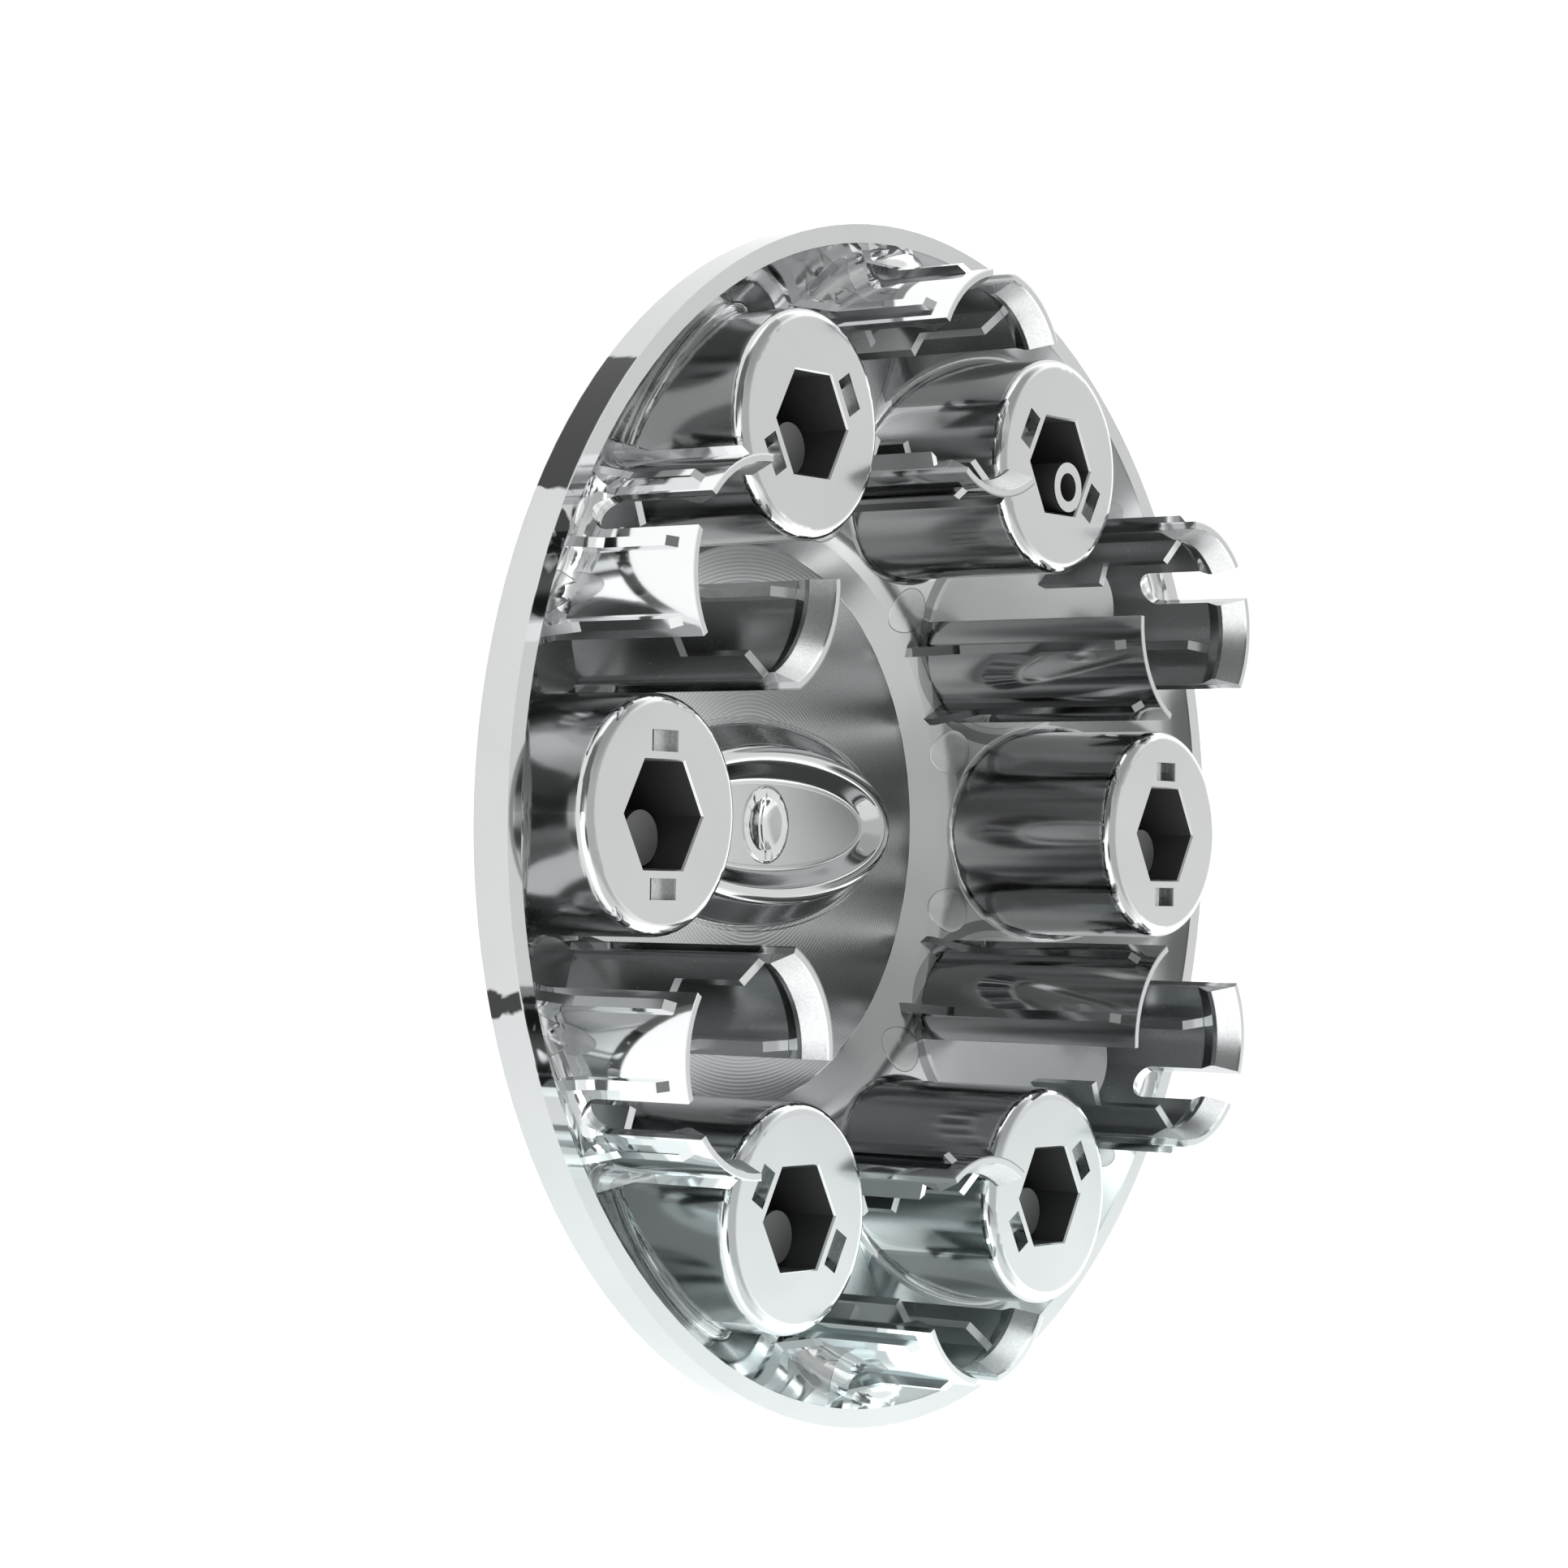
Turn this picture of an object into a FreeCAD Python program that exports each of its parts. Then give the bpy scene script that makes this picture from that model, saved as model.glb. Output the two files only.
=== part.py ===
import FreeCAD, Part
import math
import os

# Center cap of a six-lug car wheel, seen from behind in the photograph.
# Millimetres. The origin is on the cap's axis, in the plane of the rim's back edge.
# +Z points to the back, which faces the wheel. The cap's front face points down.

# Rim and bowl
wall = 2.8
rim_radius = 92.5
rim_land = 2.85
skirt_height = 6.4
lip_step = 0.5
edge_round = 0.5
bowl_foot_radius = 49.6
bowl_foot_depth = 23.8
bowl_foot_round = 8.0
bowl_radius = 67.0
centre_radius = 44.5
centre_depth = 28.4

# Circle that carries the posts and the collets, which stand side by side
station_count = 6
station_clearance = 0.07
rim_clearance = 4.75

# Posts: the backs of the dummy lug nuts
post_taper = 0.2
post_height = 7.5
post_edge_round = 1.9
post_wall = 2.7
post_end_wall = 2.8
post_foot_round = 1.0
socket_across_flats = 15.2
socket_lip = 0.3
nut_wall = 2.7
nut_front_depth = 17.5
nut_front_round = 5.0
boss_radius = 4.0
boss_offset_x = 2.2
boss_offset_y = -3.2
boss_top = 1.5
tube_boss_index = 1
tube_bore_radius = 2.3

# Windows in the end of each post
window_radial = 5.9
window_tangential = 3.05
window_offset = 10.44
window_depth = 2.6

# Collets: three spring arms on a circle
collet_wall = 1.55
collet_height = 18.4
arm_gap_width = 5.8
arm_gap_floor = -0.8
arm_gap_reach = 8.7
arm_gap_past = 1.8
outer_arm_end = 62.0
inner_arm_half = 33.0
collet_foot_round = 2.5
tip_thickness = 1.1
hook_reach = 1.25
hook_lead = 3.6
hook_land = 0.8
hook_back = 2.4

# Ribs of the arms
rib_width = 1.5
rib_height = 1.3
rib_spread = 18.0
rib_tip_gap = 2.9
gusset_reach = 3.6
gusset_height = 8.0
inner_rib_spread = 26.0
outer_step_rib_angle = 39.0
step_rib_tall = 7.4
step_rib_low = 3.7
step_rib_tall_top = -2.0
step_rib_low_top = 9.6
step_rib_slope = 2.2

# Oval seat of the badge, as half lengths
seat_floor_x = 26.4
seat_floor_y = 7.4
ridge_inner_x = 28.6
ridge_inner_y = 9.6
ridge_outer_x = 31.5
ridge_outer_y = 12.7
seat_depth = 1.7
ridge_foot_x = 34.6
ridge_foot_y = 15.9
stake_hole_radius = 6.25

# Badge
badge_thickness = 2.7
badge_clearance = 0.3
badge_recess = 0.4
stake_radius = 5.9
stake_dish_radius = 4.2
stake_dish_depth = 0.8

Vector = FreeCAD.Vector
UP = Vector(0, 0, 1)
ORIGIN = Vector(0, 0, 0)
REACH = 60.0
BITE = 0.4
PAST = 1.0
CLOSE = 0.02


def section_point(r, z):
    """A point of a half section, at radius r and height z."""
    return Vector(r, 0, z)


def arc_centre(first, last, radius):
    """Centre of the arc through two section points, on the back side of the bowl."""
    chord = last - first
    middle = (first + last) * 0.5
    across = Vector(-chord.z, 0, chord.x)
    across.normalize()
    if across.z < 0:
        across = across * -1
    rise = math.sqrt(radius ** 2 - (chord.Length / 2) ** 2)
    return middle + across * rise


def arc_edge(first, last, centre, radius):
    """The short arc between two section points round a centre."""
    middle = (first + last) * 0.5 - centre
    middle.normalize()
    return Part.Arc(first, centre + middle * radius, last).toShape()


def line_edge(first, last):
    return Part.makeLine(first, last)


def revolved(edges):
    """The solid that a closed half section sweeps round the cap's axis."""
    face = Part.Face(Part.Wire(edges))
    return face.revolve(ORIGIN, UP, 360)


def prism(points, direction):
    """The solid of a closed outline pushed along a direction."""
    return Part.Face(Part.makePolygon(points + points[:1])).extrude(direction)


# Section of the bowl: a flat centre, a cone, a rounded foot and a wide arc up to the rim
land_radius = rim_radius - rim_land
LAND_EDGE = section_point(land_radius, 0)
BOWL_FOOT = section_point(bowl_foot_radius, -bowl_foot_depth)
BOWL_CENTRE = arc_centre(LAND_EDGE, BOWL_FOOT, bowl_radius)
CONE_START = section_point(centre_radius, -centre_depth)
CONE_WAY = (BOWL_FOOT - CONE_START).normalize()
CONE_BACK = Vector(-CONE_WAY.z, 0, CONE_WAY.x)
cone_slope = CONE_WAY.z / CONE_WAY.x
front_depth = centre_depth + wall


def foot_centre():
    """Centre of the rounded foot, which touches the cone and the wide arc from the front."""
    start = CONE_START - CONE_BACK * bowl_foot_round
    away = start - BOWL_CENTRE
    along = away.dot(CONE_WAY)
    far = bowl_radius + bowl_foot_round
    return start + CONE_WAY * (-along - math.sqrt(along ** 2 - away.dot(away) + far ** 2))


FOOT_CENTRE = foot_centre()
FOOT_OUT = (BOWL_CENTRE - FOOT_CENTRE).normalize()
FOOT_START = FOOT_CENTRE + CONE_BACK * bowl_foot_round
FOOT_END = FOOT_CENTRE + FOOT_OUT * bowl_foot_round


def bowl_height(r):
    """Height of the bowl's back face at radius r."""
    if r < centre_radius:
        return -centre_depth
    if r < FOOT_START.x:
        return -centre_depth + (r - centre_radius) * cone_slope
    if r < FOOT_END.x:
        return FOOT_CENTRE.z + math.sqrt(bowl_foot_round ** 2 - (r - FOOT_CENTRE.x) ** 2)
    return BOWL_CENTRE.z - math.sqrt(bowl_radius ** 2 - (r - BOWL_CENTRE.x) ** 2)


def bowl_line(depth, end_height):
    """The bowl's section at a depth below its back face, from the axis to a height near the rim."""
    radius = bowl_radius + depth
    foot_round = bowl_foot_round - depth
    foot_start = FOOT_CENTRE + CONE_BACK * foot_round
    foot_end = FOOT_CENTRE + FOOT_OUT * foot_round
    floor = -centre_depth - depth
    flat = section_point(foot_start.x - (foot_start.z - floor) / cone_slope, floor)
    reach = math.sqrt(radius ** 2 - (end_height - BOWL_CENTRE.z) ** 2)
    end = section_point(BOWL_CENTRE.x + reach, end_height)
    line = [line_edge(section_point(0, floor), flat), line_edge(flat, foot_start)]
    line.append(arc_edge(foot_start, foot_end, FOOT_CENTRE, foot_round))
    line.append(arc_edge(foot_end, end, BOWL_CENTRE, radius))
    return line, end


def shell():
    """Bowl, rim and skirt as one turned form."""
    back, land_edge = bowl_line(0, 0)
    front, dome_end = bowl_line(wall, -skirt_height - lip_step)
    lip = section_point(dome_end.x, -skirt_height)
    corner_in = section_point(rim_radius - edge_round, -skirt_height)
    corner_mid = section_point(rim_radius - edge_round * (1 - math.sqrt(0.5)),
                               -skirt_height + edge_round * (1 - math.sqrt(0.5)))
    corner_out = section_point(rim_radius, -skirt_height + edge_round)
    rim_edge = section_point(rim_radius, 0)
    rim = [line_edge(dome_end, lip), line_edge(lip, corner_in),
           Part.Arc(corner_in, corner_mid, corner_out).toShape(),
           line_edge(corner_out, rim_edge), line_edge(rim_edge, land_edge)]
    axis = line_edge(section_point(0, -centre_depth), section_point(0, -front_depth))
    return revolved([axis] + front + rim + back[::-1])


def space_behind(depth):
    """All the space behind a surface at a depth below the bowl's back face."""
    line, end = bowl_line(depth, 0)
    far = section_point(end.x, REACH)
    axis_low = section_point(0, -centre_depth - depth)
    axis_high = section_point(0, REACH)
    return revolved(line + [line_edge(end, far), line_edge(far, axis_high), line_edge(axis_high, axis_low)])


def hexagon(corner_radius, z):
    """Hexagon with corners at 0, 60 and so on, about the local axis."""
    points = []
    for k in range(6):
        angle = math.radians(60 * k)
        points.append(Vector(corner_radius * math.cos(angle), corner_radius * math.sin(angle), z))
    return Part.makePolygon(points + points[:1])


def hex_prism(corner_radius, low, high):
    return Part.Face(hexagon(corner_radius, low)).extrude(Vector(0, 0, high - low))


def hex_taper(low_radius, low, high_radius, high):
    return Part.makeLoft([hexagon(low_radius, low), hexagon(high_radius, high)], True)


def cylinder(radius, low, high, x=0.0, y=0.0):
    return Part.makeCylinder(radius, high - low, Vector(x, y, low), UP)


def at_station(shape, angle):
    """A copy of a shape, built round its own axis, set on the pitch circle at an angle."""
    copy = shape.copy()
    copy.translate(Vector(pitch_radius, 0, 0))
    copy.rotate(ORIGIN, UP, angle)
    return copy


def upright_at(shape, angle):
    """A copy set on the pitch circle with its own directions kept."""
    copy = shape.copy()
    way = math.radians(angle)
    copy.translate(Vector(pitch_radius * math.cos(way), pitch_radius * math.sin(way), 0))
    return copy


# Stations: posts and collets fill the circle inside the rim's land, to a tenth of a millimetre
neighbour_share = math.sin(math.pi / station_count / 2)
pitch_radius = round((land_radius - rim_clearance + station_clearance) / (1 + neighbour_share), 1)
collet_radius = round(pitch_radius * neighbour_share - station_clearance, 1)


# Posts
post_base_radius = collet_radius
post_radius = post_base_radius - post_taper
socket_corner = socket_across_flats / math.sqrt(3)
nut_corner = (socket_across_flats / 2 + nut_wall) * 2 / math.sqrt(3)
socket_floor = -nut_front_depth + nut_wall


def level_edges(solid, z):
    """Edges that lie flat at a height."""
    return [e for e in solid.Edges if abs(e.BoundBox.ZMin - z) < CLOSE and e.BoundBox.ZLength < CLOSE]


def post_blank():
    """Outside of a post, with its rounded end."""
    low = -front_depth
    blank = Part.makeCone(post_base_radius, post_radius, post_height - low, Vector(0, 0, low), UP)
    return blank.makeFillet(post_edge_round, level_edges(blank, post_height))


def nut_front():
    """Solid hexagonal form of the dummy nut that stands in the well."""
    end_wall_face = post_height - post_end_wall
    nut = hex_prism(nut_corner, -nut_front_depth, end_wall_face + BITE)
    crown = cylinder(nut_corner + BITE, -nut_front_depth, end_wall_face + 2 * BITE)
    return nut.common(crown.makeFillet(nut_front_round, level_edges(crown, -nut_front_depth)))


def well():
    """Space round the dummy nut, open to the front."""
    return cylinder(post_radius - post_wall, -front_depth - PAST, post_height - post_end_wall)


def socket_space():
    """Hexagonal hollow of the nut, open to the back, with its lip."""
    hollow = hex_prism(socket_corner, socket_floor, post_height + PAST)
    rise = socket_lip + PAST
    lip = hex_taper(socket_corner, post_height - socket_lip, socket_corner + rise, post_height + PAST)
    return hollow.fuse(lip)


def window_space():
    """One blind window in the end of a post, about the post's axis."""
    low = post_height - window_depth
    corner = Vector(-window_radial / 2, window_offset - window_tangential / 2, low)
    return Part.makeBox(window_radial, window_tangential, window_depth + PAST, corner)


def boss(tube):
    """Round boss on the floor of a socket, or a longer tube."""
    top = post_height if tube else boss_top
    stub = cylinder(boss_radius, socket_floor - BITE, top, boss_offset_x, boss_offset_y)
    if tube:
        stub = stub.cut(cylinder(tube_bore_radius, socket_floor, top + PAST, boss_offset_x, boss_offset_y))
    return stub.common(hex_prism(socket_corner + BITE, socket_floor - BITE, top))


# Collets
gap_half = arm_gap_width / 2
bore_radius = collet_radius - collet_wall
hook_radius = bore_radius - hook_reach


def wedge(start, end, radius):
    """Sector of a tall cylinder between two angles about the local axis, under half a turn."""
    low = -front_depth - PAST
    points = [Vector(0, 0, low)]
    steps = 6
    for k in range(steps + 1):
        angle = math.radians(start + (end - start) * k / steps)
        points.append(Vector(radius * math.cos(angle), radius * math.sin(angle), low))
    return prism(points, Vector(0, 0, REACH))


def arm_sector(start, end):
    """Solid sector of the collet's outer cylinder."""
    tube = cylinder(collet_radius, -front_depth, collet_height)
    tube.rotate(ORIGIN, UP, (outer_arm_end + 180 - inner_arm_half) / 2)
    return tube.common(wedge(start, end, 2 * collet_radius))


def bore_space():
    """Inside of the collet: bore, hook ridge and lead-in."""
    tip_radius = collet_radius - tip_thickness
    land_top = collet_height - hook_lead
    land_low = land_top - hook_land
    back_low = land_low - hook_back
    outline = [(0, -front_depth), (bore_radius, -front_depth), (bore_radius, back_low),
               (hook_radius, land_low), (hook_radius, land_top), (tip_radius, collet_height),
               (tip_radius, collet_height + PAST), (0, collet_height + PAST)]
    points = [section_point(r, z) for r, z in outline]
    return Part.Face(Part.makePolygon(points + points[:1])).revolve(ORIGIN, UP, 360)


def gap_space():
    """Slot between the two outer arms, with its round floor."""
    floor_centre = arm_gap_floor + gap_half
    start = collet_radius - arm_gap_reach
    length = arm_gap_reach + arm_gap_past
    slot = Part.makeBox(length, arm_gap_width, REACH, Vector(start, -gap_half, floor_centre))
    floor = Part.makeCylinder(gap_half, length, Vector(start, 0, floor_centre), Vector(1, 0, 0))
    return slot.fuse(floor)


def plate(points, angle):
    """Rib of the common width from a radial outline, turned to its angle."""
    corners = [Vector(r, -rib_width / 2, z) for r, z in points]
    rib = prism(corners, Vector(0, rib_width, 0))
    rib.rotate(ORIGIN, UP, angle)
    return rib


def foot_height(angle, radius):
    """Height of the bowl under a point of the collet."""
    way = math.radians(angle)
    return bowl_height(math.hypot(pitch_radius + radius * math.cos(way), radius * math.sin(way)))


def outside_rib(angle):
    """Rib on the outside of an arm, with a gusset at its foot."""
    foot = foot_height(angle, collet_radius + rib_height)
    top = collet_height - rib_tip_gap
    root = collet_radius - collet_wall / 2
    out = collet_radius + rib_height
    far = collet_radius + gusset_reach
    return plate([(root, foot - wall), (far, foot - wall), (far, foot), (out, foot + gusset_height),
                  (out, top - rib_height), (collet_radius, top), (root, top)], angle)


def stepped_rib(angle):
    """Rib on the inside of an arm, in two steps that a lug nut's flange rests on."""
    root = bore_radius + collet_wall / 2
    foot = -front_depth
    tall = bore_radius - step_rib_tall
    low = bore_radius - step_rib_low
    return plate([(root, foot), (tall, foot), (tall, step_rib_tall_top), (low, step_rib_tall_top),
                  (low, step_rib_low_top), (root, step_rib_low_top + step_rib_slope)], angle)


outer_arm_start = math.degrees(math.asin(gap_half / collet_radius))
outer_arm_middle = (outer_arm_start + outer_arm_end) / 2


def arm_ribs():
    """Every rib of one collet, outside and inside."""
    ribs = []
    for side in (1, -1):
        for turn in (1, -1):
            ribs.append(outside_rib(side * outer_arm_middle + turn * rib_spread))
        ribs.append(outside_rib(180 + side * rib_spread))
        ribs.append(stepped_rib(side * outer_step_rib_angle))
        ribs.append(stepped_rib(180 + side * inner_rib_spread))
    return ribs


def foot_edges(solid, angle, radius, nearest=0.0):
    """Edges where a cylinder on the pitch circle meets the bowl's back face, past a nearest radius."""
    way = math.radians(angle)
    axis = Vector(pitch_radius * math.cos(way), pitch_radius * math.sin(way), 0)
    found = []
    for edge in solid.Edges:
        spots = edge.discretize(5)
        gaps = [abs(math.hypot(p.x - axis.x, p.y - axis.y) - radius(p.z)) for p in spots]
        heights = [abs(p.z - bowl_height(math.hypot(p.x, p.y))) for p in spots]
        reach = math.hypot(edge.CenterOfMass.x, edge.CenterOfMass.y)
        if max(gaps) < CLOSE and max(heights) < CLOSE and reach > nearest:
            found.append(edge)
    return found


def post_radius_at(z):
    share = (z + front_depth) / (post_height + front_depth)
    return post_base_radius + (post_radius - post_base_radius) * share


# Oval seat: the badge sets how deep its floor lies
pocket_depth = front_depth - badge_recess - badge_thickness
seat_floor_depth = pocket_depth - wall
ridge_top_depth = seat_floor_depth - seat_depth
pocket_x = ridge_outer_x - wall / 2
pocket_y = ridge_outer_y - wall / 2


def oval(half_x, half_y, z):
    curve = Part.Ellipse(Vector(0, 0, z), half_x, half_y)
    return Part.Wire([curve.toShape()])


def oval_prism(half_x, half_y, low, high):
    return Part.Face(oval(half_x, half_y, low)).extrude(Vector(0, 0, high - low))


def oval_taper(low_x, low_y, low, high_x, high_y, high):
    return Part.makeLoft([oval(low_x, low_y, low), oval(high_x, high_y, high)], True)


def seat_ridge():
    """Raised oval behind the badge."""
    low = -centre_depth - BITE
    return oval_taper(ridge_foot_x, ridge_foot_y, low, ridge_outer_x, ridge_outer_y, -ridge_top_depth)


def seat_hollow():
    """Shallow oval hollow in the back of the ridge, carried on above it."""
    above = seat_depth + PAST
    top_x = seat_floor_x + (ridge_inner_x - seat_floor_x) * above / seat_depth
    top_y = seat_floor_y + (ridge_inner_y - seat_floor_y) * above / seat_depth
    return oval_taper(seat_floor_x, seat_floor_y, -seat_floor_depth, top_x, top_y, -seat_floor_depth + above)


def badge_pocket():
    """Oval pocket in the cap's front face."""
    return oval_prism(pocket_x, pocket_y, -front_depth - PAST, -pocket_depth)


def collet_blanks(angle):
    """Outsides of the spring arms of one collet, still solid."""
    outer = arm_sector(-outer_arm_end, outer_arm_end)
    inner = arm_sector(180 - inner_arm_half, 180 + inner_arm_half)
    return [at_station(outer, angle), at_station(inner, angle)]


def cap_body():
    """The whole chrome-plated moulding."""
    post_angles = [360.0 / station_count * k for k in range(station_count)]
    collet_angles = [angle + 180.0 / station_count for angle in post_angles]
    rooted = space_behind(BITE)
    behind_bowl = space_behind(0)

    blanks = [seat_ridge()]
    for angle in collet_angles:
        blanks.extend(collet_blanks(angle))
    body = shell().fuse([blank.common(rooted) for blank in blanks])
    feet = []
    for angle in collet_angles:
        feet.extend(foot_edges(body, angle, lambda z: collet_radius, pitch_radius))
    body = body.makeFillet(collet_foot_round, feet)

    body = body.fuse([at_station(post_blank(), angle).common(rooted) for angle in post_angles])
    feet = []
    for angle in post_angles:
        feet.extend(foot_edges(body, angle, post_radius_at))
    body = body.makeFillet(post_foot_round, feet)

    cuts = [seat_hollow(), badge_pocket(), cylinder(stake_hole_radius, -front_depth, 0)]
    for angle in post_angles:
        cuts.append(at_station(well(), angle))
    for angle in collet_angles:
        cuts.append(at_station(bore_space(), angle).common(behind_bowl))
        cuts.append(at_station(gap_space(), angle))
    body = body.cut(cuts)

    additions = [at_station(nut_front(), angle) for angle in post_angles]
    for angle in collet_angles:
        for rib in arm_ribs():
            additions.append(at_station(rib, angle).common(rooted))
    body = body.fuse(additions)

    hollows = []
    for angle in post_angles:
        hollows.append(at_station(socket_space(), angle))
        for turn in (0, 180):
            window = window_space()
            window.rotate(ORIGIN, UP, turn)
            hollows.append(at_station(window, angle))
    body = body.cut(hollows)
    bosses = [upright_at(boss(k == tube_boss_index), angle) for k, angle in enumerate(post_angles)]
    return body.fuse(bosses).removeSplitter()


def emblem_badge():
    """Blank oval badge in the pocket, with the stake that goes through the seat."""
    x = pocket_x - badge_clearance
    y = pocket_y - badge_clearance
    low = -front_depth + badge_recess
    plate_solid = oval_prism(x, y, low, -pocket_depth)
    stake = cylinder(stake_radius, -pocket_depth - BITE, -seat_floor_depth)
    dish = cylinder(stake_dish_radius, -seat_floor_depth - stake_dish_depth, -seat_floor_depth + PAST)
    return plate_solid.fuse(stake).cut(dish)


def write(name, shape):
    solids = shape.Solids
    print(name, "solids", len(solids), "valid", shape.isValid(), "volume", round(shape.Volume), "box",
          [round(v, 2) for v in (shape.BoundBox.XMin, shape.BoundBox.XMax, shape.BoundBox.YMin,
                                 shape.BoundBox.YMax, shape.BoundBox.ZMin, shape.BoundBox.ZMax)])
    shape.exportStep("parts/" + name + ".step")


os.makedirs("parts", exist_ok=True)
write("cap_body", cap_body())
write("emblem_badge", emblem_badge())
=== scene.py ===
import math
import random

import bpy
from mathutils import Matrix, Quaternion, Vector


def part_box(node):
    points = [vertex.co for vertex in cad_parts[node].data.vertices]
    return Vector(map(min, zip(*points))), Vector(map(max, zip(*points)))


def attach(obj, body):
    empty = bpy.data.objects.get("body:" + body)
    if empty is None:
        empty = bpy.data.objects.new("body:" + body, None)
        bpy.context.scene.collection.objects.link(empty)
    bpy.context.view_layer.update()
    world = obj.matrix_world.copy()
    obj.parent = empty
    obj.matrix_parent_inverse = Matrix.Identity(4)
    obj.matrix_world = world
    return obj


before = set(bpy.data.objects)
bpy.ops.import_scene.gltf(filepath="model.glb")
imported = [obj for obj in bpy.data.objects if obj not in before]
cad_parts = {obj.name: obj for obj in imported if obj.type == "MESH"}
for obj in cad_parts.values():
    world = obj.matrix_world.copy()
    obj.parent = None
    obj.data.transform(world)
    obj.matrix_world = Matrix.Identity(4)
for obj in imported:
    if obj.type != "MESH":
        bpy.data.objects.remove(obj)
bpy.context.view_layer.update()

# Places on the cap, in metres, in its own frame
MM = 0.001
SECTOR = math.radians(60)
FLOOR_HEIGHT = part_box("cap_body")[0].z
FLOOR_HALF = 3.0
PITCH_RADIUS = 67.5 * MM
DISC_HEIGHT = -28.4 * MM

# Windows in the posts' ends, and the steps in their floors
WINDOW_FLOOR = 4.9 * MM
WINDOW_OFFSET = 10.44 * MM
WINDOW_HALF = 2.95 * MM
WINDOW_HALF_WIDTH = 1.52 * MM
HIGH_STEP_END = 0.75 * MM
HIGH_STEP_RISE = 1.1 * MM
LOW_STEP_START = 0.7 * MM
LOW_STEP_RISE = 0.35 * MM
SUNK = 0.1 * MM

# Seat of the badge: half axes of the oval at its floor and at the ridge's foot
SEAT_HEIGHT = -25.3 * MM
SEAT_FLOOR = (26.4 * MM, 7.4 * MM)
SEAT_FOOT = (34.6 * MM, 15.9 * MM)

# Ridge round the seat, across from 0 at the floor's edge to 1 at the foot
RIDGE_FROM = -0.13
RIDGE_SPAN = 1.30
RIDGE_MIDDLE = 0.44
RIDGE_TOP = -23.15 * MM
RIDGE_CURVE = 9 * MM
INNER_SLOPE = 6.34 * MM
OUTER_SLOPE = 12.7 * MM
OUTER_START = 0.622
OUTER_TOP = -23.6 * MM
RIDGE_LIFT = 0.12 * MM
FLAT_LIFT = 0.02 * MM
TOP_ROUNDING = 0.1 * MM
FOOT_ROUNDING = 0.25 * MM

# Spread end of the badge's stake
DISH_HEIGHT = -26.04 * MM
DISH_DEPTH = 0.8 * MM
DISH_RADIUS = 4.2 * MM
STAKE_RADIUS = 5.9 * MM
STAKE_EDGE = 6.22 * MM
CREASE_HEIGHT = 0.05 * MM
CREASE_PLACE = -0.4 * MM
CREASE_WIDTH = 0.35 * MM
LUMP_HEIGHT = 0.1 * MM

# Marks of the mould's pins: share of the radius and of the lift for each ring of points
MARK_SPOKES = 48
MARK_RINGS = [(0.25, 1.0), (0.5, 1.0), (0.75, 1.0), (0.96, 1.0), (1.0, 0.6), (1.0, -1.0)]

# Camera, in the cap's own frame: it stands to the left of the cap and looks at its back
CAMERA_PLACE = Vector((-0.516565, -0.009930, 0.361886))
CAMERA_TURN = Vector((-0.0158878, 0.9320890, -0.0271149))
SENSOR_WIDTH = 36.0
IMAGE_WIDTH = 1932
FOCAL_PIXELS = 5021.55

# Studio surroundings: azimuth and elevation in degrees, inner and outer half angle, brightness
SKY = 1.95
SURROUNDINGS = [
    (0, 90, 30, 56, 0.70),
    (-86, 40, 8, 30, 1.05),
    (85, 38, 16, 44, 0.52),
    (12, 36, 10, 24, 1.04),
    (143, 14, 22, 42, 0.22),
    (178, 6, 5, 12, 0.12),
    (-156, 44, 6, 12, 0.18),
    (152, 45, 4, 12, 0.18),
    (98, -2, 10, 22, 2.1),
]

# Edges of the plating's zones, in millimetres: 0 at the first number, 1 at the second
EDGES = {
    "socket_wall": (8.95, 8.9),
    "boss_height": (0, 1),
    "step_height": (5.6, 5.8),
    "face_height": (7.3, 7.4),
    "face_rim": (17.6, 17.4),
    "disc_rim": (44.4, 44.2),
    "disc_height": (-27.9, -28.2),
    "collet_wall": (16.3, 16.0),
    "collet_floor": (-29, -28),
    "lead_height": (14.6, 14.8),
    "post_side_top": (5.6, 5.2),
    "arm_back": (-6, -8),
    "arm_front": (-6, -4),
    "past_post": (17.9, 18.1),
    "past_collet": (18.9, 19.1),
    "bowl_top": (1, -1),
    "bowl_foot": (50, 57),
    "outer_bowl": (60, 78),
    "seat_rim": (36, 35.8),
    "skirt_radius": (92.2, 92.3),
    "skirt_top": (-0.1, -0.4),
    "painted_light_side": (-15, -65),
}

# Spans of the plating's zones, in millimetres: from, to, and the width of the soft edge
SPANS = {
    "socket_depth": (-16, 7.2, 0.05),
    "window_depth": (4.6, 7.2, 0.05),
    "window_reach": (9.0, 12.6, 0.05),
    "post_wall": (16.9, 18.0, 0.2),
    "arm_wall": (17.2, 19.0, 0.1),
    "bowl_width": (44.6, 89.4, 0.1),
    "seat_depth": (-28.2, -22.0, 0.1),
    "seat_floor": (-25.4, -25.25, 0.05),
    "land_width": (89.6, 92.3, 0.1),
    "land_depth": (-0.4, 1, 0.1),
}

# Painted reflections: dark patches painted on the skirt and the rim's land, in degrees about the axis
SKIRT_REFLECTION_PATCHES = [(137, 152), (-162.5, -161)]
LAND_REFLECTION_PATCHES = [(152, 164), (-162, -154.5)]
PATCH_WAVE = 3
PATCH_EDGE = 0.4
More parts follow.
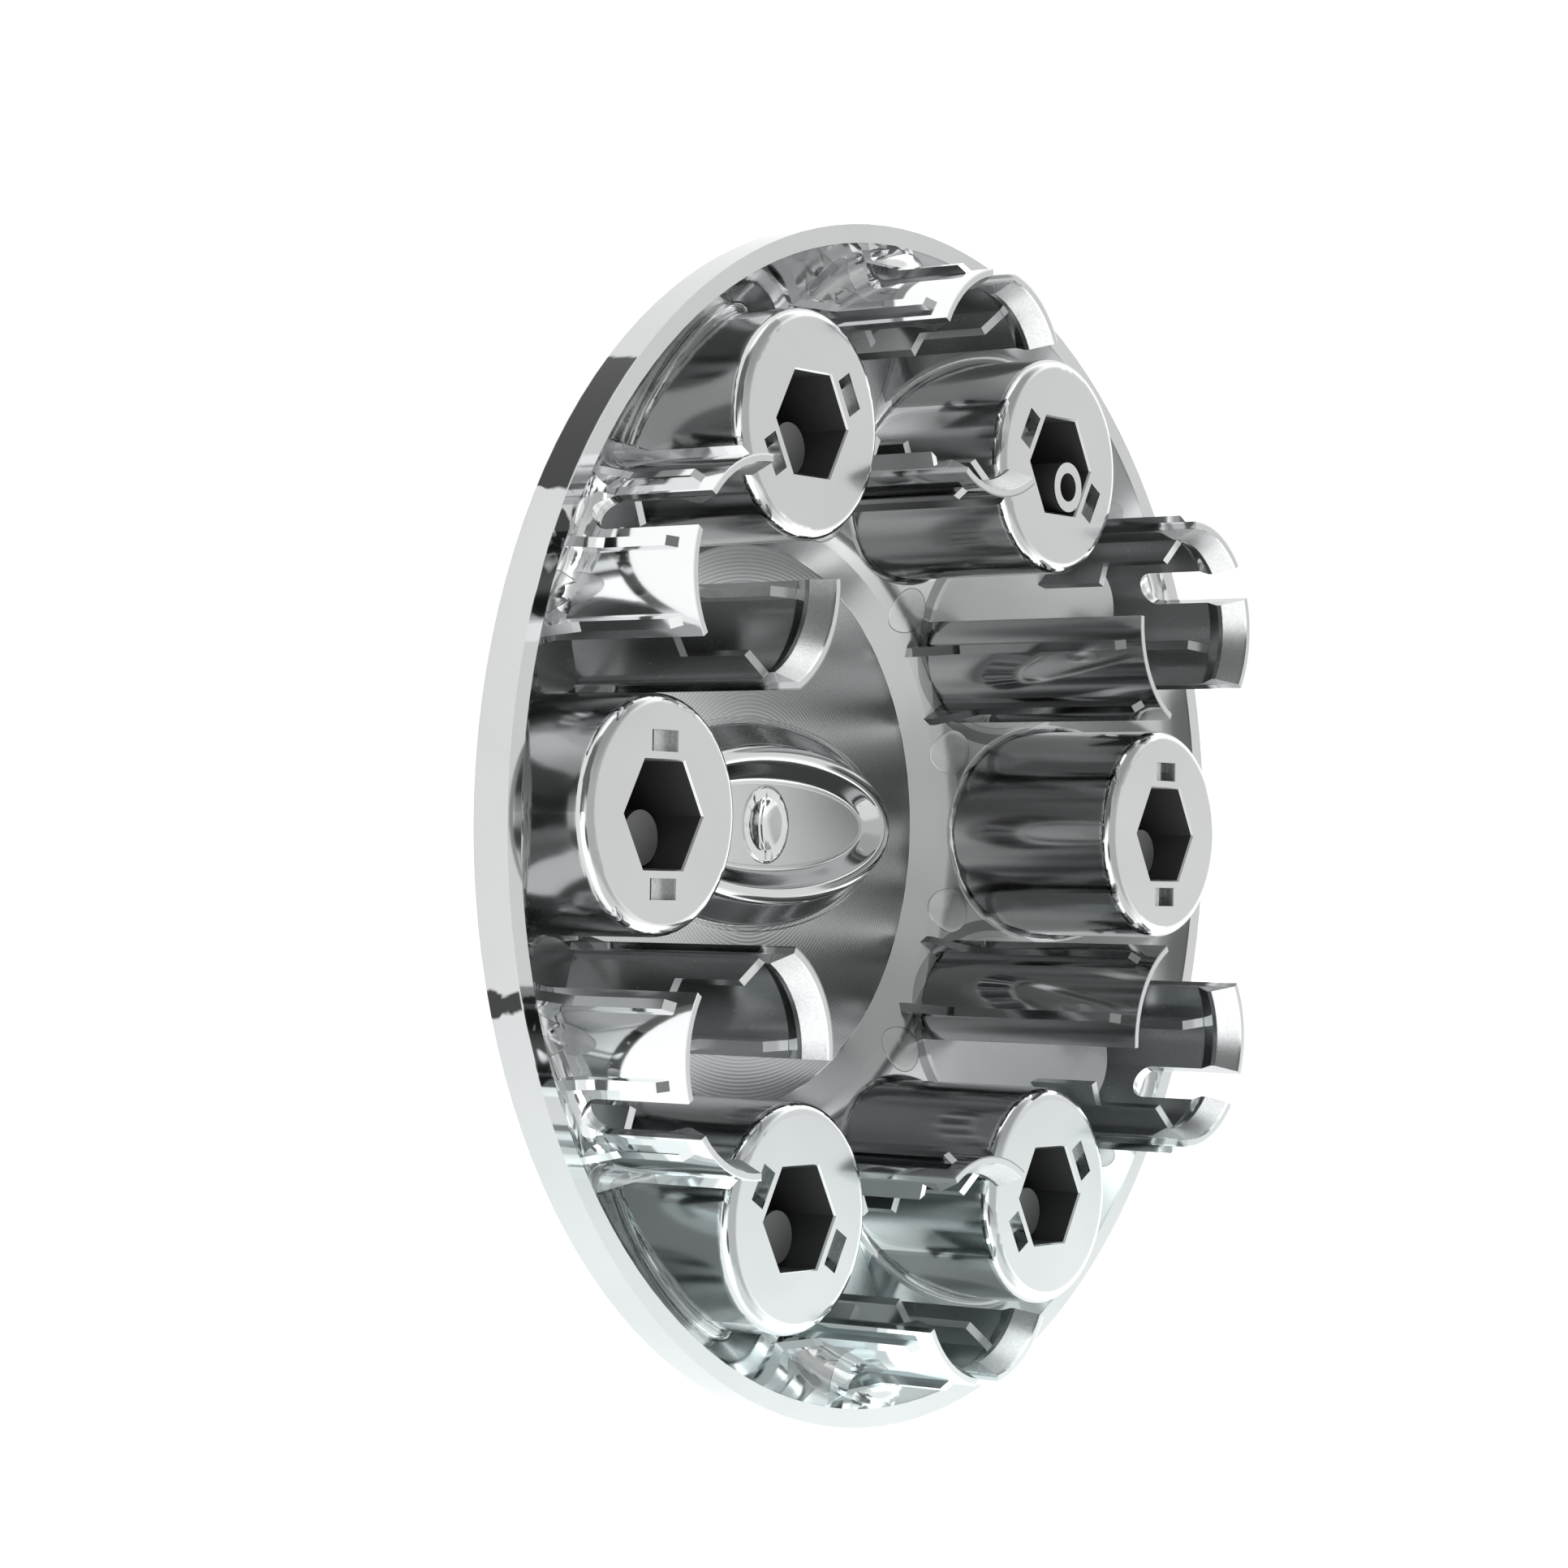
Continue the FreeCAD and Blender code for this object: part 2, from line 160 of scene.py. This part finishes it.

# Layers of the plating: a zone, its base value, and how much each pattern adds to it. Besides the
# plating's own tone, the tones hold painted light and shade: lighter and darker zones on the open
# faces, painted shade in the hollows, and painted dark reflections.
# Plating tone with random cloud, the disc's machining and the leads' grain, and painted light and
# shade: the seat and the arms' fronts painted lighter, the posts' sides and the arms' backs darker
PLATING_TONES_AND_PAINTED_LIGHT = [
    ("all", 0.52, {"cloud": 0.08}),
    ("seat", 0.62, {}),
    ("bowl", 0.45, {"cloud": 0.14, "bowl_foot": 0.16}),
    ("post_side", 0.28, {"cloud": 0.10}),
    ("arm_back", 0.26, {"cloud": 0.10}),
    ("arm_front", 0.78, {}),
    ("inside", 0.44, {"cloud": 0.20}),
    ("lead", 0.44, {"grain": 0.25}),
    ("disc", 0.46, {"machining": 0.10}),
]
# Painted shade: the sockets, windows and boss tops painted dark, the window steps less so, and the
# painted dark reflections on the skirt and land
PAINTED_SHADE_TONES = [
    ("window", 0.14, {"grain": 0.4}),
    ("step", 0.34, {"grain": 0.4}),
    ("socket", 0.05, {}),
    ("boss_top", 0.20, {}),
    ("painted_reflection", 0.05, {}),
]
ROUGHNESS = [
    ("all", 0.05, {"cloud": 0.05, "scratch": 0.06}),
    ("bowl", 0.15, {"cloud": 0.08, "outer_bowl": -0.11}),
    ("post_side", 0.10, {"cloud": 0.08}),
    ("face", 0.10, {"cloud": 0.10}),
    ("inside", 0.20, {"grain": 0.10}),
    ("lead", 0.28, {}),
    ("disc", 0.25, {}),
    ("seat_floor", 0.35, {}),
    ("window", 0.40, {}),
    ("socket", 0.55, {}),
]
RELIEF = [
    ("all", 0.0, {"flow": 9e-6, "peel": 0.9e-6}),
    ("inside", 0.0, {"flow": 24e-6, "grain": 4e-6, "peel": 5e-6}),
    ("lead", 0.0, {"grain": 12e-6}),
    ("disc", 0.0, {"machining": 6e-6, "peel": 0.6e-6}),
    ("window", 0.0, {"grain": 16e-6}),
    ("face", 0.0, {"peel": 1.6e-6}),
]
# The sockets are barely metal, so their painted shade stays dark
METAL = [("all", 1.0, {}), ("socket", 0.15, {})]

# Painted light: the side towards -Y is painted a little brighter and less red
PAINTED_LIGHT_GAIN = 0.16
PAINTED_LIGHT_RED = -0.04

# Colours as red, green and blue
CHROME_TINT = (0.985, 1.0, 1.005)
BADGE_TINT = (1.0, 1.03, 1.08)


def add_camera():
    """Camera at the photograph's viewing angle."""
    data = bpy.data.cameras.new("camera")
    data.sensor_width = SENSOR_WIDTH
    data.lens = FOCAL_PIXELS * SENSOR_WIDTH / IMAGE_WIDTH
    data.clip_start = 0.01
    data.clip_end = 20.0
    camera = bpy.data.objects.new("camera", data)
    turn = Quaternion(CAMERA_TURN.normalized(), CAMERA_TURN.length).inverted()
    camera.matrix_world = Matrix.Translation(CAMERA_PLACE) @ turn.to_matrix().to_4x4()
    bpy.context.scene.collection.objects.link(camera)
    bpy.context.scene.camera = camera


def feed(tree, socket, value):
    """Links a socket to another, or gives it a number."""
    if isinstance(value, bpy.types.NodeSocket):
        tree.links.new(value, socket)
    else:
        socket.default_value = value


def calc(tree, operation, *values):
    """A math node on sockets or numbers."""
    node = tree.nodes.new("ShaderNodeMath")
    node.operation = operation
    for socket, value in zip(node.inputs, values):
        feed(tree, socket, value)
    return node.outputs["Value"]


def product(tree, *values):
    result = values[0]
    for value in values[1:]:
        result = calc(tree, "MULTIPLY", result, value)
    return result


def varied(tree, base, pattern, amount):
    """A base value that a pattern adds to."""
    return calc(tree, "MULTIPLY_ADD", pattern, amount, base)


def ramp(tree, value, start, end):
    """Rises smoothly from 0 at start to 1 at end."""
    node = tree.nodes.new("ShaderNodeMapRange")
    node.interpolation_type = "SMOOTHSTEP"
    feed(tree, node.inputs["Value"], value)
    node.inputs["From Min"].default_value = start
    node.inputs["From Max"].default_value = end
    return node.outputs["Result"]


def between(tree, value, low, high, soft):
    """1 from low to high, and 0 past a soft edge."""
    rise = ramp(tree, value, low - soft, low)
    fall = ramp(tree, value, high + soft, high)
    return product(tree, rise, fall)


def past(tree, value, name):
    """1 on the far side of a named edge."""
    start, end = EDGES[name]
    return ramp(tree, value, start * MM, end * MM)


def within(tree, value, name):
    """1 inside a named span."""
    low, high, soft = SPANS[name]
    return between(tree, value, low * MM, high * MM, soft * MM)


def blend(tree, factor, first, second):
    node = tree.nodes.new("ShaderNodeMix")
    feed(tree, node.inputs["Factor"], factor)
    feed(tree, node.inputs["A"], first)
    feed(tree, node.inputs["B"], second)
    return node.outputs["Result"]


def layered(tree, layers, parts, result=None):
    """Blends the layers of a table over each other, each in its own zone."""
    for zone, level, shares in layers:
        for name, amount in shares.items():
            level = varied(tree, level, parts[name], amount)
        result = level if result is None else blend(tree, parts[zone], result, level)
    return result


def noise(tree, place, scale, detail=2.0, warp=0.0):
    node = tree.nodes.new("ShaderNodeTexNoise")
    tree.links.new(place, node.inputs["Vector"])
    node.inputs["Scale"].default_value = scale
    node.inputs["Detail"].default_value = detail
    node.inputs["Distortion"].default_value = warp
    return node.outputs["Fac"]


def rings(tree, place, scale, warp, warp_scale):
    """Rings about the cap's axis."""
    node = tree.nodes.new("ShaderNodeTexWave")
    node.wave_type = "RINGS"
    node.rings_direction = "Z"
    tree.links.new(place, node.inputs["Vector"])
    node.inputs["Scale"].default_value = scale
    node.inputs["Distortion"].default_value = warp
    node.inputs["Detail"].default_value = 1.0
    node.inputs["Detail Scale"].default_value = warp_scale
    return node.outputs["Fac"]


def stretched(tree, place, sizes):
    node = tree.nodes.new("ShaderNodeVectorMath")
    node.operation = "MULTIPLY"
    tree.links.new(place, node.inputs[0])
    node.inputs[1].default_value = sizes
    return node.outputs["Vector"]


def axes(tree, vector):
    """The three parts of a vector."""
    node = tree.nodes.new("ShaderNodeSeparateXYZ")
    tree.links.new(vector, node.inputs[0])
    return node.outputs


def object_place(tree):
    """Place on the object, in metres."""
    return tree.nodes.new("ShaderNodeTexCoord").outputs["Object"]


def new_material(name):
    """An empty node material with its shader and output."""
    material = bpy.data.materials.new(name)
    material.use_nodes = True
    tree = material.node_tree
    tree.nodes.clear()
    shader = tree.nodes.new("ShaderNodeBsdfPrincipled")
    output = tree.nodes.new("ShaderNodeOutputMaterial")
    tree.links.new(shader.outputs["BSDF"], output.inputs["Surface"])
    return material, tree, shader


def tint(tree, shader, tone, colour):
    """Base colour from a tone and a colour."""
    node = tree.nodes.new("ShaderNodeVectorMath")
    node.operation = "SCALE"
    node.inputs[0].default_value = colour
    feed(tree, node.inputs["Scale"], tone)
    tree.links.new(node.outputs["Vector"], shader.inputs["Base Color"])


def relief(tree, shader, height):
    """Bump from a height in metres."""
    node = tree.nodes.new("ShaderNodeBump")
    node.inputs["Strength"].default_value = 1.0
    node.inputs["Distance"].default_value = 1.0
    tree.links.new(height, node.inputs["Height"])
    tree.links.new(node.outputs["Normal"], shader.inputs["Normal"])


def station(tree, radius, angle, shift):
    """Distance from the axis of the nearest post or collet, and how much of it points outwards."""
    turned = calc(tree, "FLOORED_MODULO", calc(tree, "ADD", angle, shift), SECTOR)
    folded = calc(tree, "SUBTRACT", turned, SECTOR / 2)
    reach = product(tree, calc(tree, "COSINE", folded), radius)
    outward = calc(tree, "SUBTRACT", reach, PITCH_RADIUS)
    sideways = product(tree, calc(tree, "SINE", folded), radius)
    return length(tree, outward, sideways), outward


def length(tree, first, second):
    squares = calc(tree, "ADD", product(tree, first, first), product(tree, second, second))
    return calc(tree, "SQRT", squares)


def painted_reflection_patches(tree, angle, waves, patches):
    """1 within ranges of angles about the axis, with wavy borders: where dark reflections are painted.
    """
    shifted = varied(tree, angle, waves, math.radians(PATCH_WAVE))
    first, second = [
        between(tree, shifted, math.radians(start), math.radians(end), math.radians(PATCH_EDGE))
        for start, end in patches
    ]
    return calc(tree, "MAXIMUM", first, second)


def chrome_zones(tree, where, waves):
    """Masks of the plating's zones, also those of its painted shade and painted dark reflections, from
    the place on the cap and the way its surface faces.
    """
    x, y, z = axes(tree, where.outputs["Object"])
    facing = axes(tree, where.outputs["Normal"])["Z"]
    upward = ramp(tree, facing, 0.75, 0.95)
    behind = ramp(tree, facing, -0.3, -0.1)
    radius = length(tree, x, y)
    angle = calc(tree, "ARCTAN2", y, x)
    post = station(tree, radius, angle, SECTOR / 2)[0]
    collet, outward = station(tree, radius, angle, 0.0)

    socket = product(tree, within(tree, z, "socket_depth"), past(tree, post, "socket_wall"))
    boss_top = product(tree, socket, upward, past(tree, z, "boss_height"))
    window = product(tree, within(tree, z, "window_depth"), within(tree, post, "window_reach"))
    step = product(tree, window, past(tree, z, "step_height"))
    face = product(tree, past(tree, z, "face_height"), past(tree, post, "face_rim"))
    post_side = product(tree, within(tree, post, "post_wall"), past(tree, z, "post_side_top"), behind)
    inside = product(tree, past(tree, collet, "collet_wall"), past(tree, z, "collet_floor"), behind)
    lead = product(tree, inside, past(tree, z, "lead_height"))
    arm = product(tree, within(tree, collet, "arm_wall"), behind)
    arm_back = product(tree, arm, past(tree, outward, "arm_back"))
    arm_front = product(tree, arm, past(tree, outward, "arm_front"))
    clear = product(tree, past(tree, post, "past_post"), past(tree, collet, "past_collet"))
    bowl = product(tree, clear, within(tree, radius, "bowl_width"), past(tree, z, "bowl_top"), behind)
    disc = product(tree, past(tree, radius, "disc_rim"), past(tree, z, "disc_height"), upward)
    seat = product(tree, past(tree, radius, "seat_rim"), within(tree, z, "seat_depth"))
    seat_floor = product(tree, seat, upward, within(tree, z, "seat_floor"))

    skirt = product(tree, past(tree, radius, "skirt_radius"), past(tree, z, "skirt_top"))
    land = product(tree, within(tree, radius, "land_width"), within(tree, z, "land_depth"))
    # Dark reflections painted on the skirt and on the rim's land
    skirt_painted_reflection = product(tree, skirt, painted_reflection_patches(tree, angle, waves, SKIRT_REFLECTION_PATCHES))
    land_painted_reflection = product(tree, land, painted_reflection_patches(tree, angle, waves, LAND_REFLECTION_PATCHES),
                        ramp(tree, waves, 0.40, 0.46))
    return {
        "socket": socket,
        "boss_top": boss_top,
        "window": window,
        "step": step,
        "face": face,
        "post_side": post_side,
        "inside": inside,
        "lead": lead,
        "arm_back": arm_back,
        "arm_front": arm_front,
        "bowl": bowl,
        "bowl_foot": past(tree, radius, "bowl_foot"),
        "outer_bowl": past(tree, radius, "outer_bowl"),
        "disc": disc,
        "seat": seat,
        "seat_floor": seat_floor,
        "painted_reflection": calc(tree, "MAXIMUM", skirt_painted_reflection, land_painted_reflection),
        "painted_light_side": past(tree, y, "painted_light_side"),
    }


def chrome_patterns(tree, place):
    """Marks of the mould and of the flowing plastic."""
    lines = noise(tree, stretched(tree, place, (1.0, 0.06, 0.3)), 2400.0, 2.0, 0.8)
    return {
        "flow": noise(tree, stretched(tree, place, (1.0, 1.0, 0.35)), 90.0, 3.0, 1.2),
        "peel": noise(tree, place, 700.0, 2.0),
        "grain": noise(tree, place, 2600.0, 3.0),
        "cloud": noise(tree, place, 38.0, 4.0, 0.6),
        "machining": rings(tree, place, 520.0, 4.0, 0.05),
        "scratch": ramp(tree, lines, 0.72, 0.80),
    }


def chrome_material():
    """Chrome plating with the tool's marks, and painted light and shade: lighter and darker zones,
    painted shade in the moulding's hollows, and painted dark reflections.
    """
    material, tree, shader = new_material("chrome_plating")
    where = tree.nodes.new("ShaderNodeTexCoord")
    place = where.outputs["Object"]
    waves = noise(tree, place, 150.0, 2.0, 0.8)
    parts = chrome_zones(tree, where, waves) | chrome_patterns(tree, place)

    # Painted light: the side towards -Y is made brighter, then the tones add painted light and shade
    # zone by zone
    painted_side_gain = varied(tree, 1.0, parts["painted_light_side"], PAINTED_LIGHT_GAIN)
    tone = product(tree, layered(tree, PLATING_TONES_AND_PAINTED_LIGHT, parts), painted_side_gain)
    tone = layered(tree, PAINTED_SHADE_TONES, parts, tone)
    red, green, blue = CHROME_TINT
    colour = tree.nodes.new("ShaderNodeCombineXYZ")
    painted_side_red = varied(tree, red, parts["painted_light_side"], PAINTED_LIGHT_RED)
    feed(tree, colour.inputs["X"], product(tree, tone, painted_side_red))
    feed(tree, colour.inputs["Y"], product(tree, tone, green))
    feed(tree, colour.inputs["Z"], product(tree, tone, blue))
    tree.links.new(colour.outputs["Vector"], shader.inputs["Base Color"])
    tree.links.new(layered(tree, ROUGHNESS, parts), shader.inputs["Roughness"])
    tree.links.new(layered(tree, METAL, parts), shader.inputs["Metallic"])
    relief(tree, shader, layered(tree, RELIEF, parts))
    return material


def badge_material():
    """Blank glossy dark badge."""
    material, tree, shader = new_material("badge")
    place = object_place(tree)
    cloud = noise(tree, place, 60.0, 3.0)
    peel = noise(tree, place, 900.0, 2.0)
    tint(tree, shader, varied(tree, 0.035, cloud, 0.01), BADGE_TINT)
    tree.links.new(varied(tree, 0.12, cloud, 0.08), shader.inputs["Roughness"])
    shader.inputs["Coat Weight"].default_value = 0.6
    relief(tree, shader, product(tree, peel, 1.5e-6))
    return material


def stake_material():
    """Chrome crinkled by the heat that spread the stake's end."""
    material, tree, shader = new_material("stake_end")
    place = object_place(tree)
    crinkle = noise(tree, place, 650.0, 4.0, 1.5)
    cloud = noise(tree, place, 160.0, 2.0)
    tint(tree, shader, varied(tree, 0.56, cloud, 0.2), CHROME_TINT)
    shader.inputs["Metallic"].default_value = 1.0
    shader.inputs["Roughness"].default_value = 0.09
    relief(tree, shader, product(tree, crinkle, 6e-6))
    return material


def pin_mark_material():
    """Chrome over the slightly rougher ends of the mould's pins."""
    material, tree, shader = new_material("pin_mark")
    place = object_place(tree)
    cloud = noise(tree, place, 120.0, 3.0)
    grain = noise(tree, place, 2600.0, 3.0)
    tint(tree, shader, varied(tree, 0.46, cloud, 0.24), CHROME_TINT)
    tree.links.new(varied(tree, 0.14, cloud, 0.20), shader.inputs["Roughness"])
    shader.inputs["Metallic"].default_value = 1.0
    relief(tree, shader, product(tree, grain, 2e-6))
    return material


def floor_material():
    """Plain pale floor."""
    material, _, shader = new_material("floor")
    shader.inputs["Base Color"].default_value = (0.5, 0.5, 0.5, 1.0)
    shader.inputs["Roughness"].default_value = 0.8
    shader.inputs["Emission Color"].default_value = (1.0, 1.0, 1.0, 1.0)
    shader.inputs["Emission Strength"].default_value = 0.8
    return material


def add_mesh(name, points, faces, material, smooth=True):
    """A new object from points and faces."""
    mesh = bpy.data.meshes.new(name)
    mesh.from_pydata(points, [], faces)
    mesh.materials.append(material)
    mesh.update()
    for polygon in mesh.polygons:
        polygon.use_smooth = smooth
    thing = bpy.data.objects.new(name, mesh)
    bpy.context.scene.collection.objects.link(thing)
    return thing


def add_trim(name, points, faces, material, smooth=True):
    """A trim piece of the chrome plating, fixed to the cap's only body."""
    thing = add_mesh(name, points, faces, material, smooth)
    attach(thing, "root")


def add_floor():
    """The floor that the cap lies on."""
    corners = [(x * FLOOR_HALF, y * FLOOR_HALF, FLOOR_HEIGHT)
               for x, y in ((-1, -1), (1, -1), (1, 1), (-1, 1))]
    add_mesh("floor", corners, [(0, 1, 2, 3)], floor_material(), False)


def direction(azimuth, elevation):
    """Unit vector from angles in degrees."""
    a = math.radians(azimuth)
    e = math.radians(elevation)
    return Vector((math.cos(e) * math.cos(a), math.cos(e) * math.sin(a), math.sin(e)))


def set_world():
    """White studio with soft darker and brighter parts, as the chrome mirrors them."""
    world = bpy.data.worlds.new("studio")
    world.use_nodes = True
    tree = world.node_tree
    background = tree.nodes["Background"]
    background.inputs["Color"].default_value = (1.0, 1.0, 1.0, 1.0)
    where = tree.nodes.new("ShaderNodeTexCoord")
    level = SKY
    for azimuth, elevation, inner, outer, brightness in SURROUNDINGS:
        dot = tree.nodes.new("ShaderNodeVectorMath")
        dot.operation = "DOT_PRODUCT"
        dot.inputs[1].default_value = direction(azimuth, elevation)
        tree.links.new(where.outputs["Generated"], dot.inputs[0])
        edge = math.cos(math.radians(outer))
        core = math.cos(math.radians(inner))
        level = blend(tree, ramp(tree, dot.outputs["Value"], edge, core), level, brightness)
    tree.links.new(level, background.inputs["Strength"])
    bpy.context.scene.world = world


def dress(node, material):
    """Gives every face of a CAD node one material."""
    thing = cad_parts[node]
    thing.data.materials.clear()
    thing.data.materials.append(material)


def polar(radius, angle):
    return radius * math.cos(angle), radius * math.sin(angle)


def ring_faces(first, spokes, ring_count):
    """Quads between rings of points, the first ring's first point given."""
    faces = []
    for ring in range(ring_count - 1):
        low = first + ring * spokes
        for k in range(spokes):
            after = (k + 1) % spokes
            faces.append((low + k, low + spokes + k, low + spokes + after, low + after))
    return faces


def fan_faces(centre, spokes):
    """Triangles from a centre point to the ring that follows it."""
    first = centre + 1
    return [(centre, first + k, first + (k + 1) % spokes) for k in range(spokes)]


def height_below(x, y, start):
    """Height of the cap's surface under a point."""
    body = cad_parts["cap_body"]
    return body.ray_cast(Vector((x, y, start)), Vector((0, 0, -1)))[1].z


def surface_disc(x, y, radius, start, lift, points, faces):
    """Adds a round patch that lies on the cap's surface, raised by a little, with its edge sunk."""
    first = len(points)
    points.append((x, y, height_below(x, y, start) + lift))
    for share, rise in MARK_RINGS:
        for k in range(MARK_SPOKES):
            dx, dy = polar(radius * share, 2 * math.pi * k / MARK_SPOKES)
            height = height_below(x + dx, y + dy, start)
            points.append((x + dx, y + dy, height + lift * rise))
    faces += fan_faces(first, MARK_SPOKES)
    faces += ring_faces(first + 1, MARK_SPOKES, len(MARK_RINGS))


def add_ejector_marks(material):
    """Round marks of the mould's pins, at the bowl's foot and near its rim."""
    points = []
    faces = []
    for k in range(12):
        x, y = polar(51.3 * MM, math.radians(15 + 30 * k))
        surface_disc(x, y, 3.7 * MM, -14 * MM, 0.05 * MM, points, faces)
    for k in range(6):
        for side in (-1, 1):
            x, y = polar(84.4 * MM, math.radians(30 + 60 * k + side * 8.6))
            surface_disc(x, y, 3.3 * MM, 5 * MM, 0.04 * MM, points, faces)
    add_trim("ejector_marks", points, faces, material)


def block(low, high, turn, points, faces):
    """Adds a box with its corners given in a post's own frame, for a post at an angle."""
    first = len(points)
    for x in (low[0], high[0]):
        for y in (low[1], high[1]):
            for z in (low[2], high[2]):
                spot = Matrix.Rotation(turn, 3, "Z") @ Vector((PITCH_RADIUS + x, y, z))
                points.append(tuple(spot))
    for corners in ((0, 1, 3, 2), (4, 6, 7, 5), (0, 4, 5, 1), (2, 3, 7, 6), (0, 2, 6, 4), (1, 5, 7, 3)):
        faces.append(tuple(first + c for c in corners))


def add_window_steps(material):
    """Steps in the floors of the windows: a high one, and a low one across half the width."""
    points = []
    faces = []
    bottom = WINDOW_FLOOR - SUNK
    for k in range(6):
        for side in (-1, 1):
            middle = side * WINDOW_OFFSET
            low = (-WINDOW_HALF - SUNK, middle - WINDOW_HALF_WIDTH - SUNK, bottom)
            high = (HIGH_STEP_END, middle + WINDOW_HALF_WIDTH + SUNK, WINDOW_FLOOR + HIGH_STEP_RISE)
            block(low, high, k * SECTOR, points, faces)
            low = (LOW_STEP_START, middle, bottom)
            high = (WINDOW_HALF + SUNK, high[1], WINDOW_FLOOR + LOW_STEP_RISE)
            block(low, high, k * SECTOR, points, faces)
    add_trim("window_steps", points, faces, material, False)


def add_stake_end(material):
    """Spread end of the badge's stake, seen through the hole in the seat."""
    chance = random.Random(4)
    spokes = 96
    ring_count = 22
    lumps = [(chance.randint(7, 23), chance.uniform(0, 2 * math.pi), chance.uniform(0.3, 1.0))
             for _ in range(7)]
    points = [(0.0, 0.0, DISH_HEIGHT)]
    for ring in range(1, ring_count + 1):
        share = ring / ring_count
        radius = STAKE_EDGE * share
        dish = DISH_DEPTH * min(radius / DISH_RADIUS, 1.0) ** 2
        for k in range(spokes):
            angle = 2 * math.pi * k / spokes
            waves = [size * math.sin(count * angle + phase + 6 * share) for count, phase, size in lumps]
            lump = LUMP_HEIGHT * (1 + sum(waves) / 4) * share ** 3
            x, y = polar(radius, angle)
            crease = CREASE_HEIGHT * math.exp(-((x - CREASE_PLACE) / CREASE_WIDTH) ** 2)
            drop = max(radius - STAKE_RADIUS, 0)
            points.append((x, y, DISH_HEIGHT + crease + dish + lump - drop))
    faces = fan_faces(0, spokes) + ring_faces(1, spokes, ring_count)
    add_trim("stake_end", points, faces, material)


def soft_high(a, b, soft):
    """The higher of two heights, with a rounded change."""
    return (a + b + math.sqrt((a - b) ** 2 + soft ** 2)) / 2


def soft_low(a, b, soft):
    """The lower of two heights, with a rounded change."""
    return (a + b - math.sqrt((a - b) ** 2 + soft ** 2)) / 2


def seat_profile(t):
    """Height of the rounded seat ridge, from the seat's floor at 0 to the ridge's foot at 1."""
    crown = RIDGE_TOP - RIDGE_CURVE * (t - RIDGE_MIDDLE) ** 2
    if t < RIDGE_MIDDLE:
        side = SEAT_HEIGHT + INNER_SLOPE * t
        flat = SEAT_HEIGHT
    else:
        side = OUTER_TOP - OUTER_SLOPE * (t - OUTER_START)
        flat = DISC_HEIGHT
    side = soft_low(side, crown, TOP_ROUNDING) + RIDGE_LIFT
    return soft_high(side, flat + FLAT_LIFT, FOOT_ROUNDING)


def add_seat_ridge(material):
    """Rounded oval ridge round the badge's seat."""
    spokes = 180
    ring_count = 45
    points = []
    for ring in range(ring_count):
        t = RIDGE_FROM + RIDGE_SPAN * ring / (ring_count - 1)
        half_x, half_y = [floor + (foot - floor) * t for floor, foot in zip(SEAT_FLOOR, SEAT_FOOT)]
        z = seat_profile(t)
        if ring in (0, ring_count - 1):
            z -= SUNK
        for k in range(spokes):
            angle = 2 * math.pi * k / spokes
            points.append((half_x * math.cos(angle), half_y * math.sin(angle), z))
    add_trim("seat_ridge", points, ring_faces(0, spokes, ring_count), material)


chrome = chrome_material()
add_camera()
set_world()
add_floor()
dress("cap_body", chrome)
dress("emblem_badge", badge_material())
add_ejector_marks(pin_mark_material())
add_window_steps(chrome)
add_seat_ridge(chrome)
add_stake_end(stake_material())
bpy.context.scene.view_settings.view_transform = "Standard"
